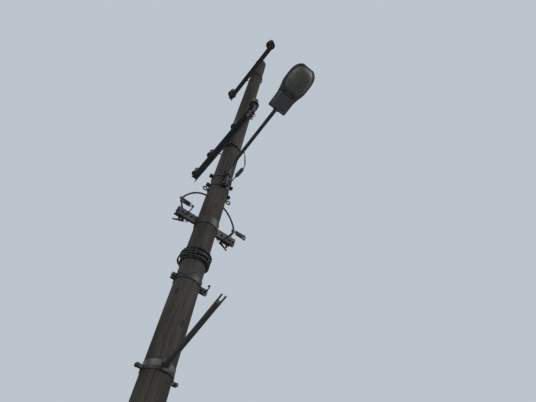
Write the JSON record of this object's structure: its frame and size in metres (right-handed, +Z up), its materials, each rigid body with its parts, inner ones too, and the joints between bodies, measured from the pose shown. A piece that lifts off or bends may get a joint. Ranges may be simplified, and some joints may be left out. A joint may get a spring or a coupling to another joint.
{
  "type": "wooden telephone pole",
  "caption": "Tapered round wooden utility pole with steel crossarms, insulators, a street light on a pipe arm, telecom clamps and a strut.",
  "frame": {"origin": "centre of the pole at ground level, on the flat face of the shaft's foot", "axes": "+Z up the pole; +X along the crossarms towards the road and the lamp; Y along the line, crossarms on the -Y side"},
  "size_m": [2.2858, 0.8026, 9],
  "materials": {
    "wood": "weathered, grey-brown, checked along the grain",
    "arm_steel": "dark weathered steel",
    "zinc": "dull galvanised",
    "porcelain": "brown glaze",
    "lamp_alloy": "grey painted die casting",
    "bowl_glass": "dusty clear bowl",
    "bulb_glass": "frosted lamp",
    "holder_ceramic": "white porcelain and plate",
    "fuse_plastic": "black moulded fuse body",
    "cable_sheath": "black polyethylene sheath"
  },
  "bodies": {
    "root": {"pole_shaft": "wood", "upper_crossarm": "arm_steel", "upper_u_bolt": "zinc", "upper_pins": "zinc", "upper_insulator_near": "porcelain", "upper_insulator_far": "porcelain", "lower_crossarm": "arm_steel", "lower_u_bolt": "zinc", "lower_pins": "zinc", "lower_insulator_end_near": "porcelain", "lower_insulator_mid_near": "porcelain", "lower_insulator_mid_far": "porcelain", "lower_insulator_end_far": "porcelain", "shackle_strap": "zinc", "shackle_insulator": "porcelain", "shackle_bolt": "zinc", "lamp_arm": "zinc", "lamp_band_upper": "zinc", "lamp_band_lower": "zinc", "spigot_clamp": "zinc", "lamp_housing": "lamp_alloy", "gear_door": "lamp_alloy", "bowl_ring": "lamp_alloy", "lamp_bowl": "bowl_glass", "lamp_holder": "holder_ceramic", "lamp_bulb": "bulb_glass", "fuse_arm": "zinc", "lamp_fuse": "fuse_plastic", "lamp_lead": "cable_sheath", "bracket_front": "arm_steel", "bracket_rear": "arm_steel", "bracket_bolts": "zinc", "bracket_hooks": "zinc", "cable_clamps": "zinc", "cable_arch": "cable_sheath", "drop_clamps": "zinc", "eye_bolt": "zinc", "cable_wrap": "cable_sheath", "middle_clamp_front": "zinc", "middle_clamp_rear": "zinc", "middle_clamp_bolts": "zinc", "middle_hooks": "zinc", "lower_clamp_front": "arm_steel", "lower_clamp_rear": "arm_steel", "lower_clamp_bolts": "arm_steel", "lower_strap": "zinc", "strut_pipe": "arm_steel", "strut_fork": "zinc"}
  },
  "joints": []
}
